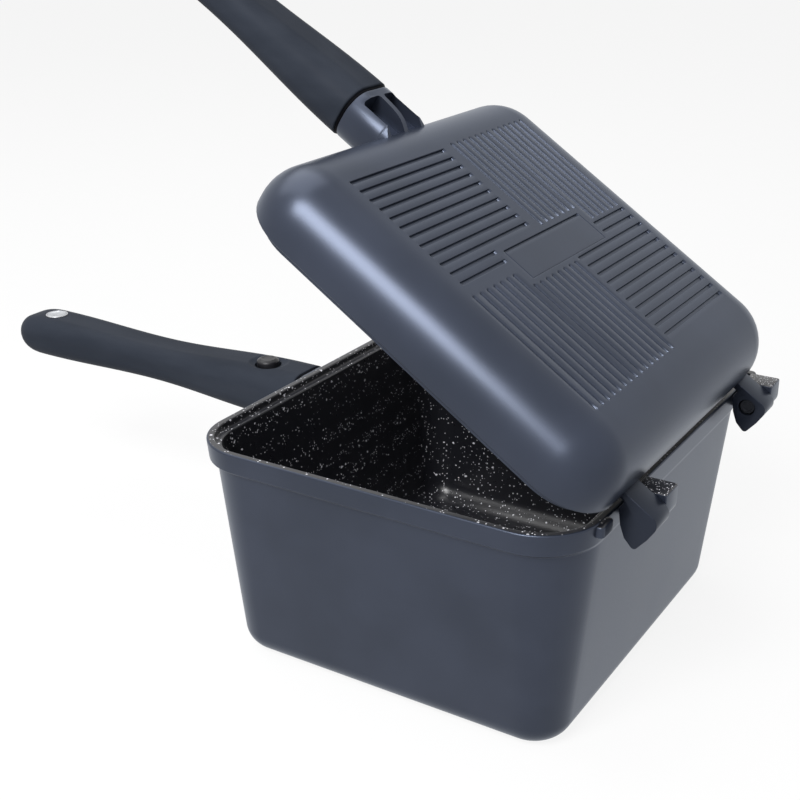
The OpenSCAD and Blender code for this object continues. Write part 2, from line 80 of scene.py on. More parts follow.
# Rounds the corners of a path of rows. A corner of radius r becomes the exact arc between the two
# points r*tan(turn/2) away from it, as a rational quadratic curve of weight cos(turn/2).
# plane names the two columns in which lengths and turns are measured.
def roundedPath(rows, radii, plane, steps=6, closed=False):
    rows, plane = np.asarray(rows, float), list(plane)
    count = len(rows)
    out = []
    for i, (corner, r) in enumerate(zip(rows, radii)):
        if r <= 0 or (not closed and i in (0, count - 1)):
            out.append([corner])
            continue
        toBefore, toAfter = rows[i - 1] - corner, rows[(i + 1) % count] - corner
        lengthB, lengthA = np.linalg.norm(toBefore[plane]), np.linalg.norm(toAfter[plane])
        cosine = -np.dot(toBefore[plane], toAfter[plane]) / (lengthB * lengthA)
        turn = math.acos(max(-1.0, min(1.0, cosine)))
        reach = min(r * math.tan(turn / 2), 0.499 * min(lengthA, lengthB) if closed else math.inf)
        a, b = corner + toBefore * reach / lengthB, corner + toAfter * reach / lengthA
        w = math.cos(turn / 2)
        t = np.linspace(0, 1, max(2, int(steps * max(turn, 0.3) / 1.57 * 2)) + 1)[:, None]
        out.append(((1 - t) ** 2 * a + 2 * w * t * (1 - t) * corner + t ** 2 * b)
                   / ((1 - t) ** 2 + 2 * w * t * (1 - t) + t ** 2))
    return np.concatenate(out)


# A stack of rounded rectangles. Each row is x0 x1 y0 y1 radius z; a point on it is its corner
# centre, slid along the straight run by a fraction, plus radius times the direction of its angle.
def ringStack(rows, runX, runY, arcSteps):
    arc = np.linspace(0, math.pi / 2, arcSteps + 1)[1:-1]
    one, quarter = np.ones_like, math.pi / 2
    fx = np.concatenate([runX, one(arc), one(runY), one(arc), runX[::-1], 0 * arc, 0 * runY, 0 * arc])
    fy = np.concatenate([0 * runX, 0 * arc, runY, one(arc), one(runX), one(arc), runY[::-1], 0 * arc])
    angle = np.concatenate([0 * runX - quarter, arc - quarter, 0 * runY, arc, 0 * runX + quarter,
                            arc + quarter, 0 * runY + math.pi, arc + math.pi])
    x0, x1, y0, y1, r, z = [np.asarray(rows, float)[:, k:k + 1] for k in range(6)]
    x = x0 + r + fx * (x1 - x0 - 2 * r) + r * np.cos(angle)
    y = y0 + r + fy * (y1 - y0 - 2 * r) + r * np.sin(angle)
    return np.stack([x, y, z + 0 * x], 2)


# Faces of a grid of points, wrapped round in its second direction unless wrap is off.
def gridFaces(tall, wide, wrap=True):
    v, u = np.meshgrid(np.arange(tall - 1), np.arange(wide if wrap else wide - 1), indexing="ij")
    nextU = (u + 1) % wide
    corners = [v * wide + u, (v + 1) * wide + u, (v + 1) * wide + nextU, v * wide + nextU]
    return np.stack([c.ravel() for c in corners], 1)


# Soft shading over a piece, but for edges sharper than an angle.
def shade(piece, sharpFrom=35):
    piece.data.polygons.foreach_set("use_smooth", np.ones(len(piece.data.polygons), bool))
    piece.data.set_sharp_from_angle(angle=math.radians(sharpFrom))
    return piece


# Puts millimetre points and faces into a new object in metres, welded, with its faces turned
# outwards. faceFinish says which of the finishes each face has.
def makePiece(name, points, faces, finishes, faceFinish=None, sharpFrom=35, weld=0.002):
    mesh = bpy.data.meshes.new(name)
    mesh.from_pydata((np.asarray(points) * mm).tolist(), [], [list(map(int, f)) for f in faces])
    for finish in finishes:
        mesh.materials.append(finish)
    if faceFinish is not None:
        mesh.polygons.foreach_set("material_index", np.asarray(faceFinish, np.int32))
    if weld:
        work = bmesh.new()
        work.from_mesh(mesh)
        bmesh.ops.remove_doubles(work, verts=work.verts, dist=weld * mm)
        bmesh.ops.dissolve_degenerate(work, edges=work.edges, dist=weld * mm * 0.5)
        bmesh.ops.recalc_face_normals(work, faces=work.faces)
        work.to_mesh(mesh)
        work.free()
    made = bpy.data.objects.new(name, mesh)
    bpy.context.scene.collection.objects.link(made)
    return shade(made, sharpFrom)


# A closed outline in x and z, carried along y from y0 to y1, with both ends filled.
def prism(outline, y0, y1):
    n = len(outline)
    points = np.concatenate([np.stack([outline[:, 0], np.full(n, y), outline[:, 1]], 1) for y in (y0, y1)])
    u, v = outline[:, 0], outline[:, 1]
    turn = -1 if np.sum(u * np.roll(v, -1) - np.roll(u, -1) * v) > 0 else 1  # which way the outline runs
    ring = np.arange(n)
    nextOne = (ring + 1) % n
    sides = np.stack([ring, nextOne, nextOne + n, ring + n], 1)[:, ::turn]
    return points, [list(side) for side in sides] + [list(ring[::turn]), list((ring[::-1] + n)[::turn])]


# A turned shape: its profile of radius and height is spun about an axis along z, or along y on the
# hinge line.
def lathe(name, profile, axis, place, around, finishes=(), centre=(hinge["x"], 0.0, hinge["z"])):
    profile = np.asarray(profile, float)
    angle = np.linspace(0, 2 * math.pi, around, endpoint=False)
    radius, height = profile[:, :1], profile[:, 1:2] + 0 * angle
    a, b = radius * np.cos(angle), radius * np.sin(angle)
    cx, cy, cz = centre
    if axis == "z":
        points = np.stack([a + cx, b + cy, height], 2)
    else:
        points = np.stack([b + cx, height, a + cz], 2)
    faces = gridFaces(len(profile), around)[:, ::-1]
    return makePiece(name, place(points.reshape(-1, 3)), faces, finishes)


# Freezes a piece's live modifier into its own mesh.
def freeze(piece):
    bpy.context.view_layer.update()
    graph = bpy.context.evaluated_depsgraph_get()
    mesh = bpy.data.meshes.new_from_object(piece.evaluated_get(graph), depsgraph=graph)
    piece.modifiers.clear()
    piece.data = mesh
    return piece


# Cuts closed shapes out of a piece, one after the other, by an exact boolean.
def cutOut(piece, cutters):
    for cutter in cutters:
        step = piece.modifiers.new("step", "BOOLEAN")
        step.operation, step.solver, step.object = "DIFFERENCE", "EXACT", cutter
        freeze(piece)
        bpy.data.objects.remove(cutter)
    return piece


# Rounds every edge sharper than an angle.
def soften(piece, width, angle=30):
    step = piece.modifiers.new("softEdges", "BEVEL")
    step.width, step.segments = width * mm, 3
    step.limit_method, step.angle_limit = "ANGLE", math.radians(angle)
    step.harden_normals = False
    return freeze(piece)


# One shader socket. + - * and < on it, and their reflected forms, add Math nodes, so a finish reads
# as a formula. Every other node comes from node.
class Wire:
    def __init__(self, tree, socket=None):
        self.tree, self.socket = tree, socket

    def node(self, kind, settings=None, sockets=None, out=0):
        made = self.tree.nodes.new(kind)
        for key, value in (settings or {}).items():
            setattr(made, key, value)
        for key, value in (sockets or {}).items():
            if isinstance(value, Wire):
                self.tree.links.new(value.socket, made.inputs[key])
            else:
                made.inputs[key].default_value = value
        return Wire(self.tree, made.outputs[out]) if len(made.outputs) else made

    def maths(self, operation, a, b):
        return self.node("ShaderNodeMath", {"operation": operation}, {0: a, 1: b})

    def __add__(self, other): return self.maths("ADD", self, other)
    def __radd__(self, other): return self.maths("ADD", other, self)
    def __sub__(self, other): return self.maths("SUBTRACT", self, other)
    def __rsub__(self, other): return self.maths("SUBTRACT", other, self)
    def __mul__(self, other): return self.maths("MULTIPLY", self, other)
    def __rmul__(self, other): return self.maths("MULTIPLY", other, self)
    def __lt__(self, other): return self.maths("LESS_THAN", self, other)
    def __gt__(self, other): return self.maths("GREATER_THAN", self, other)

    # a soft step from 0 at low to 1 at high
    def rise(self, low, high):
        return self.node("ShaderNodeMapRange", {"interpolation_type": "SMOOTHSTEP"},
                         {0: self, 1: low, 2: high, 3: 0.0, 4: 1.0})

    # the first colour where this is 0, the second where it is 1
    def blend(self, first, second):
        return self.node("ShaderNodeMix", {"data_type": "RGBA"}, {0: self, 6: first, 7: second}, 2)


# An empty material, the wire that adds to it, and the object's own coordinates.
def newFinish(name):
    made = bpy.data.materials.new(name)
    made.use_nodes = True
    made.node_tree.nodes.clear()
    wire = Wire(made.node_tree)
    return made, wire, wire.node("ShaderNodeTexCoord", out="Object")


def finishUp(made, wire, sockets):
    skin = wire.node("ShaderNodeBsdfPrincipled", sockets=sockets)
    wire.node("ShaderNodeOutputMaterial", sockets={0: skin})
    return made


def noise(wire, where, scale, detail, rough=0.5):
    return wire.node("ShaderNodeTexNoise", sockets={"Vector": where, "Scale": scale, "Detail": detail,
                                                    "Roughness": rough})


# where, drawn out along the axes whose scale is small
def stretched(wire, where, scale):
    return wire.node("ShaderNodeMapping", {"vector_type": "POINT"}, {"Vector": where, "Scale": scale})


# A bump from a height; look holds its strength and its distance in metres.
def bumps(wire, look, height):
    strength, distance = look["bump"]
    return wire.node("ShaderNodeBump", sockets={"Strength": strength, "Distance": distance, "Height": height})


paint = {"dark": (0.027, 0.033, 0.050), "light": (0.034, 0.041, 0.062), "edge": (0.85, 0.91, 1.0, 1),
         "roughness": 0.32, "uneven": 0.06, "metal": 0.5, "shine": 0.45, "cloud": 22.0, "grain": 1500.0,
         "bump": (0.07, 0.00005)}


# Satin paint over a cast skin: slow cloudiness in colour and sheen over a faint cast grain. depth
# scales its colours and its shine; a depth below 1 is painted shade, a darker copy of the same paint.
def castPaint(name, depth):
    made, wire, where = newFinish(name)
    cloud = noise(wire, where, paint["cloud"], 3.0)
    grain = noise(wire, where, paint["grain"], 3.0, 0.6)
    dark, light = [tuple(v * depth for v in paint[tone]) + (1,) for tone in ("dark", "light")]
    colour = cloud.rise(0.3, 0.7).blend(dark, light)
    rough = paint["roughness"] + (cloud - 0.5) * paint["uneven"] + (grain - 0.5) * paint["uneven"]
    return finishUp(made, wire, {
        "Base Color": colour, "Metallic": paint["metal"], "Roughness": rough,
        "Normal": bumps(wire, paint, grain), "Specular IOR Level": paint["shine"] * depth,
        "Specular Tint": paint["edge"]})


nonStick = {"black": (0.0105, 0.0110, 0.0145, 1), "speck": (0.80, 0.80, 0.86, 1), "roughness": 0.30,
            "uneven": 0.16, "dust": 260.0, "pebble": 900.0, "bump": (0.16, 0.00008)}


# Black granite-look coating: sparse white specks over near-black, with a fine pebble. specks holds,
# for each size of speck, its scale, the share of cells that have one, and its radius in a cell.
def granite(name, specks):
    made, wire, where = newFinish(name)
    mask = 0.0
    for scale, share, radius in specks:
        wander = wire.node("ShaderNodeTexNoise", sockets={"Vector": where, "Scale": scale * 2.2}, out=1)
        push = wire.node("ShaderNodeVectorMath", {"operation": "SCALE"}, {0: wander, "Scale": 0.35 / scale})
        bent = wire.node("ShaderNodeVectorMath", {"operation": "ADD"}, {0: where, 1: push})
        spot = {"Vector": bent, "Scale": scale}
        near = wire.node("ShaderNodeTexVoronoi", {"feature": "F1"}, spot, "Distance")
        cell = wire.node("ShaderNodeTexVoronoi", {"feature": "F1"}, spot, "Color")
        pick = wire.node("ShaderNodeSeparateColor", sockets={0: cell})
        mask = wire.maths("MAXIMUM", mask, (pick < share) * (1 - near.rise(radius * 0.6, radius)))
    dust = noise(wire, where, nonStick["dust"], 4.0, 0.7)
    pebble = noise(wire, where, nonStick["pebble"], 2.0)
    return finishUp(made, wire, {
        "Base Color": mask.blend(nonStick["black"], nonStick["speck"]),
        "Roughness": nonStick["roughness"] + (dust - 0.5) * nonStick["uneven"],
        "Normal": bumps(wire, nonStick, pebble + mask * 0.6)})


gripLook = {"dark": (0.021, 0.025, 0.034, 1), "light": (0.029, 0.034, 0.045, 1), "roughness": 0.46,
            "shine": 0.02, "streak": 60.0, "along": (0.25, 1.0, 1.0), "grain": 2200.0, "bump": (0.12, 0.00005)}


# Moulded handle plastic: fine spark texture, slightly uneven sheen along the length.
def gripPlastic():
    made, wire, where = newFinish("mouldedGrip")
    streak = noise(wire, stretched(wire, where, gripLook["along"]), gripLook["streak"], 3.0)
    grain = noise(wire, where, gripLook["grain"], 2.0)
    return finishUp(made, wire, {
        "Base Color": streak.rise(0.3, 0.7).blend(gripLook["dark"], gripLook["light"]),
        "Roughness": gripLook["roughness"] + (streak - 0.5) * 0.12 + (grain - 0.5) * 0.10,
        "Normal": bumps(wire, gripLook, grain), "Specular IOR Level": gripLook["shine"]})


plastics = {
    "buttonPlastic": {"dark": (0.008, 0.008, 0.010, 1), "light": (0.014, 0.014, 0.017, 1), "roughness": 0.36,
                      "shine": 0.3, "bump": (0.10, 0.00004)},
    "jointRing": {"dark": (0.002, 0.002, 0.003, 1), "light": (0.004, 0.004, 0.005, 1), "roughness": 0.6,
                  "shine": 0.02, "bump": (0.10, 0.00004)},
}


# Plain hard black plastic or rubber, with a little dust and unevenness.
def darkPlastic(name):
    look = plastics[name]
    made, wire, where = newFinish(name)
    cloud, grain = noise(wire, where, 150.0, 3.0), noise(wire, where, 1800.0, 2.0)
    return finishUp(made, wire, {
        "Base Color": cloud.rise(0.35, 0.75).blend(look["dark"], look["light"]),
        "Roughness": look["roughness"] + (grain - 0.5) * 0.14,
        "Normal": bumps(wire, look, grain), "Specular IOR Level": look["shine"]})


# lines runs small along the way that the metal is turned or brushed
metals = {
    "burnishedSteel": {"light": (0.045, 0.047, 0.055, 1), "dark": (0.025, 0.027, 0.032, 1),
                       "roughness": 0.42, "lines": (1.0, 0.2, 1.0), "bump": (0.08, 0.00003)},
    "brightSteel": {"light": (0.50, 0.51, 0.53, 1), "dark": (0.34, 0.35, 0.37, 1),
                    "roughness": 0.32, "lines": (1.0, 0.12, 1.0), "bump": (0.08, 0.00003)},
    "nickelPlate": {"light": (0.58, 0.60, 0.62, 1), "dark": (0.40, 0.42, 0.45, 1),
                    "roughness": 0.34, "lines": (1.0, 1.0, 0.2), "bump": (0.08, 0.00003)},
}


# Turned or stamped metal: fine lines along it, and a cloudy polish.
def metal(name):
    look = metals[name]
    made, wire, where = newFinish(name)
    brush = noise(wire, stretched(wire, where, look["lines"]), 1500.0, 3.0, 0.65)
    cloud = noise(wire, where, 140.0, 3.0)
    return finishUp(made, wire, {
        "Base Color": (cloud * 0.6 + brush * 0.4).rise(0.3, 0.7).blend(look["dark"], look["light"]),
        "Metallic": 1.0, "Roughness": look["roughness"] + (brush - 0.5) * 0.16,
        "Normal": bumps(wire, look, brush)})


# the arms get the same paint darkened to 0.6 in colour and shine: painted shade, for arms that stand in shade
paintFinish, shadedArmFinish = castPaint("satinPaint", 1.0), castPaint("satinPaintShaded", 0.6)
graniteFinish = granite("graniteCoating", ((240.0, 0.30, 0.18), (400.0, 0.30, 0.20), (800.0, 0.26, 0.28)))
fineGraniteFinish = granite("graniteCoatingFine", ((700.0, 0.45, 0.30), (1100.0, 0.45, 0.34)))
gripFinish = gripPlastic()
buttonFinish, ringFinish = darkPlastic("buttonPlastic"), darkPlastic("jointRing")
pinFinish, steelFinish, magnetFinish = metal("burnishedSteel"), metal("brightSteel"), metal("nickelPlate")
print("finishes made")


# The pan casting as one closed skin: its section is walked from the middle of the base, up the
# outside, over the lip and down the inside to the middle of the floor, as rounded rectangles.
def panShell():
    halfL, halfW, lean = pan["length"] / 2, pan["width"] / 2, pan["draft"] / pan["height"]
    high = pan["height"]

    def wallRow(z, step, hingeStep):
        d = lean * (high - z)
        return [-halfL + step + d, halfL - hingeStep - d, -halfW + step + d, halfW - step - d,
                pan["cornerRadius"] - d, z]

    def insideRow(z, inset):
        d = lean * (high - z) + inset
        return [-halfL + d, halfL - d, -halfW + d, halfW - d, pan["cornerRadius"] - d, z]

    def drawnIn(row, by, radius):
        return [row[0] + by, row[1] - by, row[2] + by, row[3] - by, radius, row[5]]

    def middle(z):
        return [pan["middle"], pan["middle"], 0, 0, 0, z]

    step, hingeStep, bandFoot = pan["bandStep"], pan["hingeSideStep"], high - pan["bandHeight"]
    base = wallRow(0, step, hingeStep)
    foot = insideRow(pan["floor"], pan["lip"] + pan["ledge"])
    ledgeZ = high - pan["ledgeDrop"]
    rows = [middle(0), drawnIn(base, 14, 3.1), base, wallRow(bandFoot, step, hingeStep),
            wallRow(bandFoot + pan["bandSlope"], 0, 0), wallRow(high, 0, 0), insideRow(high, pan["lip"]),
            insideRow(ledgeZ, pan["lip"]), insideRow(ledgeZ, pan["lip"] + pan["ledge"]), foot,
            drawnIn(foot, 13, 2.0), middle(pan["floor"])]
    radii = [0, 0, pan["baseRadius"], 1.0, 0.9, 0.8, 0.7, 0.5, 0.9, pan["insideRadius"], 0, 0]
    path = roundedPath(rows, radii, (3, 5), 8)
    run = np.linspace(0, 1, 25)
    grid = ringStack(path, run, run, 16)
    tall, wide = grid.shape[:2]
    # the coating starts at the top of the lip, just inside its outer edge
    onLip = np.abs(path[:, 5] - high) < 0.05
    lipStart = int(np.argmin(np.where(onLip, np.abs(path[:, 3] - (halfW - 1.0)), 100)))
    coated = np.repeat(np.arange(tall - 1), wide) >= lipStart
    return makePiece("panCasting", grid.reshape(-1, 3), gridFaces(tall, wide)[:, ::-1],
                     [paintFinish, graniteFinish], coated)


# Gives the faces that look up the coating, where the inside finish runs over an edge.
def coatTop(made):
    normals = np.zeros(len(made.data.polygons) * 3, np.float32)
    made.data.polygons.foreach_get("normal", normals)
    made.data.polygons.foreach_set("material_index", (normals.reshape(-1, 3)[:, 2] > 0.6).astype(np.int32))
    return shade(made)


lug = {"root": 92.4, "step": 95.0, "claw": 97.2, "outer": 111.0, "foot": 99.3, "shelf": 108.4, "top": 113.0,
       "nose": 6.0, "soft": 0.55, "front": -53.0, "rear": 81.0}


# One claw on the hinge line, from its outline, with a speckled top where the coating runs over it.
def panLug(name, y):
    outline = roundedPath([[lug["root"], lug["foot"]], [lug["outer"], lug["foot"]], [lug["outer"], lug["top"]],
                           [lug["claw"], lug["top"]], [lug["step"], lug["shelf"]], [lug["root"], lug["shelf"]]],
                          [0, lug["nose"], 0.9, 0.5, 0.6, 0], (0, 1), 6, True)
    points, faces = prism(outline, y, y + hinge["lugThick"])
    made = makePiece(name, points, faces, [paintFinish, fineGraniteFinish])
    return coatTop(soften(made, lug["soft"]))


keepers = {
    "keeperFront": {"low": (92.0, -82.0, 102.8), "high": (97.2, -71.2, 108.4), "corner": 1.9, "dome": 1.7},
    "keeperRear": {"low": (88.6, 95.2, 104.0), "high": (98.0, 100.2, 112.0), "corner": 1.6, "dome": 1.4},
}


# A small block of the casting: rounded rectangles stacked up to a domed top, which is coated.
def keeper(name):
    size = keepers[name]
    (x0, y0, z0), (x1, y1, z1) = size["low"], size["high"]
    midX, midY = (x0 + x1) / 2, (y0 + y1) / 2
    rows = [[midX, midX, midY, midY, 0, z0], [x0, x1, y0, y1, size["corner"], z0],
            [x0, x1, y0, y1, size["corner"], z1], [midX, midX, midY, midY, 0, z1]]
    path = roundedPath(rows, [0, 0.3, size["dome"], 0], (1, 5), 6)
    grid = ringStack(path, np.linspace(0, 1, 3), np.linspace(0, 1, 3), 6)
    made = makePiece(name, grid.reshape(-1, 3), gridFaces(*grid.shape[:2]), [paintFinish, graniteFinish])
    return coatTop(made)


socket = {
    "round": 11.2, "soft": 0.45, "rib": 1.5,
    # along x: the outer end, the inner end, where the casting is met, and the flare there
    "lower": {"from": -99.4, "to": -91.5, "meets": -93.0, "flare": 2.2, "reach": 4.0},
    "upper": {"from": -110.4, "to": -73.0, "meets": -90.5, "flare": 0.3, "reach": 1.5},
    "pocketFrom": -106.4, "pocketTo": -85.0, "pocketWide": 11.4, "pocketFoot": 71.8, "pocketTop": 88.5,
    "pocketRound": 1.6,
    # x and z along the scoop's edge, from inside the lid out to the grip
    "scoop": [[-70, 93.0], [-80, 90.0], [-85, 87.2], [-88, 85.0], [-90, 83.5], [-92, 82.4], [-94, 81.7],
              [-97, 81.15], [-101, 80.75], [-106, 80.45], [-112, 80.2]],
}


# What is cut out of the upper socket: two pockets with a rib left between them, a scoop along its
# outer side, and the lid's hollow, an arc about the shoulder's centre, so that the bar ends inside
# the lid's wall.
def socketCutters():
    cutters = []
    near, far, wide = socket["pocketFrom"], socket["pocketTo"], socket["pocketWide"]
    for y in (-socket["rib"] - wide, socket["rib"]):
        outline = roundedPath([[near, y], [far, y], [far, y + wide], [near, y + wide]],
                              [socket["pocketRound"]] * 4, (0, 1), 4, True)
        cut, faces = prism(outline, socket["pocketFoot"], socket["pocketTop"])
        cutters.append(makePiece("cutter", turnOver(cut[:, [0, 2, 1]]), faces, []))
    cut, faces = prism(np.array([[-112, 70], [-70, 70]] + socket["scoop"], float), -40, 40)
    cutters.append(makePiece("cutter", turnOver(cut), faces, []))
    wallX, inner = lid["x0"] + lid["wall"] - 1.0, lid["shoulder"] - lid["wall"] + 1.0
    turn = np.linspace(0, math.pi / 2, 16)
    arc = np.stack([wallX + inner - inner * np.cos(turn),
                    lid["top"] - lid["shoulder"] + inner * np.sin(turn)], 1)
    cut, faces = prism(np.concatenate([[[-60, 100], [wallX, 100]], arc, [[-60, arc[-1, 1]]]]), -42, 42)
    cutters.append(makePiece("cutter", swingOpen(cut), faces, []))
    return cutters


# The socket that carries a grip: a rounded bar whose section is the grip's own, run along x and
# flaring by a quarter ellipse where it meets the casting.
def gripSocket(name, side):
    size, upper = socket[side], side == "upper"
    halfW, halfH = grip["coreWide"] + socket["round"], grip["coreHigh"] + socket["round"]
    meets, reach = size["meets"], size["reach"]
    softened = size["from"] + np.array([0.0, 0.15, 0.5])
    s = np.concatenate([softened, np.linspace(meets - reach, meets, 9), [size["to"]]])
    part = np.clip((s - meets + reach) / reach, 0, 1)
    grow = np.interp(s, softened, [-0.5, -0.15, 0.0]) + size["flare"] * (1 - np.sqrt(1 - part ** 2))
    inner = np.minimum(grow, 0) if upper else grow
    rows = [[-halfH - g, halfH + i, -halfW - g, halfW + g, socket["round"] + (g + i) / 2, v]
            for v, g, i in zip(s, grow, inner)]
    rows = [[0, 0, 0, 0, 0, s[0]]] + rows + [[0, 0, 0, 0, 0, s[-1]]]
    grid = ringStack(rows, np.linspace(0, 1, 3), np.linspace(0, 1, 7), 14)
    flat = grid.reshape(-1, 3)
    points = np.stack([flat[:, 2], -flat[:, 1], grip["z"] + flat[:, 0]], 1)
    place = turnOver if upper else asIs
    made = makePiece(name, place(points), gridFaces(*grid.shape[:2]), [paintFinish])
    if upper:
        soften(cutOut(made, socketCutters()), socket["soft"], 40)
    return shade(made)


for piece in [panShell(), panLug("lugFront", lug["front"]), panLug("lugRear", lug["rear"]),
              keeper("keeperFront"), keeper("keeperRear"), gripSocket("socketLower", "lower")]:
    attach(piece, "pan")
    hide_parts("deep_pan")
print("pan made")


pattern = {
    "pitch": 5.54, "half": 0.95, "plate": (-12.0, 8.0, -36.0, 42.0),
    "acrossFront": {"first": -67.05, "count": 12, "low": -74.6, "high": 0.5, "stopHigh": -36.6,
                    "depth": 1.1, "wall": 0.25},
    "acrossRear": {"first": -1.9, "count": 12, "low": 7.4, "high": 77.4, "stopLow": 43.0,
                   "depth": 1.1, "wall": 0.25},
    "alongFront": {"first": -75.0, "count": 15, "low": 0.6, "high": 65.9, "stopLow": 9.0,
                   "depth": 0.9, "wall": 0.32},
    "alongRear": {"first": 8.58, "count": 13, "low": -69.4, "high": -4.4, "stopHigh": -13.2,
                  "depth": 0.9, "wall": 0.32},
    # the plate's frame lines, as rows: a deep one on the grip side, fine ones round the rest
    "frame": [[1, -9.9, -32.6, 39.8, 0.7, 1.0, 0.25], [1, 6.6, -32.6, 39.8, 0.3, 0.25, 0.25],
              [0, -32.6, -9.4, 6.4, 0.3, 0.25, 0.25], [0, 39.8, -9.4, 6.4, 0.3, 0.25, 0.25]],
    "edge": 0.2,  # width of the soft upper edge of every groove
}


# Every groove as a row: runs along x (0) or y (1), its line, its two ends, its half width, its depth
# and the width of its wall. A line that would run into the plate stops short of it.
def grooveRows():
    rows = []
    px0, px1, py0, py1 = pattern["plate"]
    for name in ("acrossFront", "acrossRear", "alongFront", "alongRear"):
        g, alongY = pattern[name], name.startswith("across")
        for line in g["first"] + pattern["pitch"] * np.arange(g["count"]):
            beside = (px0 - 1 < line < px1 + 1) if alongY else (py0 - 1 < line < py1 + 1)
            low = g.get("stopLow", g["low"]) if beside else g["low"]
            high = g.get("stopHigh", g["high"]) if beside else g["high"]
            rows.append([alongY, line, low, high, pattern["half"], g["depth"], g["wall"]])
    return np.array(rows + pattern["frame"])


# Depth of the grooves at points: each is a stadium about its own line, flat below, with a steep
# wall and a soft upper edge, all read from the distance to that line's two ends.
def grooveDepth(x, y, rows):
    depth = np.zeros_like(x)
    for alongY, line, low, high, half, deep, wall in rows:
        side, run = (x, y) if alongY else (y, x)
        inner = min(half, (high - low) / 2)
        over = np.maximum(np.maximum(low + inner - run, run - high + inner), 0)
        d = np.hypot(side - line, over)
        profile = np.interp(d, [half - wall, half, half + pattern["edge"]], [1, 0.10, 0])
        depth = np.maximum(depth, deep * profile)
    return depth


# Lines of a grid that keep close to every groove's edges and ends, none nearer than closest to the
# one before it, and no run longer than longest without one.
def gridLines(rows, alongX, low, high, closest=0.11, longest=3.2):
    lines = [low, high]
    for alongY, line, first, last, half, deep, wall in rows:
        offsets = np.array([half - wall, half, half + pattern["edge"]])
        if bool(alongY) == alongX:
            lines += list(line - offsets) + list(line + offsets)
        else:
            ends = np.array([0.0, 0.35, 1.0]) * half
            lines += list(first + half - offsets) + list(first + ends)
            lines += list(last - half + offsets) + list(last - ends)
    lines = np.unique(np.round([v for v in lines if low <= v <= high], 3))
    kept = [lines[0]]
    for v in lines[1:]:
        if v - kept[-1] > closest:
            kept.append(v)
    kept[-1] = high
    full = []
    for a, b in zip(kept[:-1], kept[1:]):
        full += list(np.linspace(a, b, int((b - a) / longest) + 1, endpoint=False))
    return np.array(full + [high])


# The lid's casting as one closed skin. The flat top is a grid whose heights carry the grooves; from
# its edge, rounded rectangles run over the shoulder, down to the mouth and rib, and up inside.
def lidShell():
    x0, x1, halfW, top, r = lid["x0"], lid["x1"], lid["halfWidth"], lid["top"], lid["shoulder"]
    rows = grooveRows()
    flat = (x0 + r, x1 - r, -halfW + r, halfW - r)
    xs = gridLines(rows, True, flat[0], flat[1])
    ys = gridLines(rows, False, flat[2], flat[3])
    gx, gy = np.meshgrid(xs, ys, indexing="ij")
    edge = np.minimum(np.minimum(gx - flat[0], flat[1] - gx), np.minimum(gy - flat[2], flat[3] - gy))
    gz = top - grooveDepth(gx, gy, rows) * np.clip(edge / 0.4, 0, 1)
    topPoints = np.stack([gx, gy, gz], 2).reshape(-1, 3)
    topFaces = gridFaces(len(xs), len(ys), wrap=False)[:, ::-1]

    def outer(inset, z, corner):
        return [x0 + inset, x1 - inset, -halfW + inset, halfW - inset, corner, z]

    # the locating rib follows the pan's ledge
    gap = pan["lip"] + 1.0
    ribX, ribY, ribR = pan["length"] / 2 - gap, pan["width"] / 2 - gap, pan["cornerRadius"] - gap

    def rib(inset, z):
        return [-ribX + inset, ribX - inset, -ribY + inset, ribY - inset, ribR - inset, z]

    # the first ring is the flat top's own edge, with square corners
    shoulder = [outer(r, top, 0.0)]
    for a in np.linspace(0, math.pi / 2, 15)[1:]:
        inset = r - r * math.sin(a)
        shoulder.append(outer(inset, top - r + r * math.cos(a), max(lid["cornerRadius"] - inset, 0.0)))
    ribFoot, mouth, w, inR = pan["height"] - 2.0, lid["mouth"], lid["wall"], r - lid["wall"]
    corner, ceiling = lid["cornerRadius"], top - lid["skin"]
    wall = [outer(0, mouth + 4, corner), outer(0, mouth, corner), rib(0, mouth), rib(0, ribFoot),
            rib(2.2, ribFoot), rib(2.2, mouth + 3), outer(w, mouth + 3, corner - w),
            outer(w, ceiling - inR, corner - w)]
    wall = roundedPath(wall, [0, 0.9, 0.35, 0.5, 0.5, 0.3, 0.1, 0], (3, 5), 4)[1:]
    inside = [outer(w + inR - inR * math.cos(a), ceiling - inR + inR * math.sin(a),
                    corner - w - inR + inR * math.cos(a)) for a in np.linspace(0, math.pi / 2, 11)[1:]]
    middle = [(x0 + x1) / 2, (x0 + x1) / 2, 0, 0, 0, ceiling]
    path = np.array(shoulder + list(wall) + inside + [middle])
    rings = ringStack(path, (xs - flat[0]) / (flat[1] - flat[0]), (ys - flat[2]) / (flat[3] - flat[2]), 12)
    tall, wide = rings.shape[:2]
    points = np.concatenate([topPoints, rings.reshape(-1, 3)])
    faces = np.concatenate([topFaces, gridFaces(tall, wide) + len(topPoints)])
    # the coating starts at the rib's foot
    rowOf = np.concatenate([np.full(len(topFaces), -1), np.repeat(np.arange(tall - 1), wide)])
    coated = rowOf >= len(shoulder) + int(np.argmax(wall[:, 5] < ribFoot + 0.01))
    return makePiece("lidCasting", swingOpen(points), faces, [paintFinish, graniteFinish], coated, 30)


arm = {"root": -13.6, "top": 6.5, "out": 8.2, "soft": 0.7, "boreSlack": 0.07}


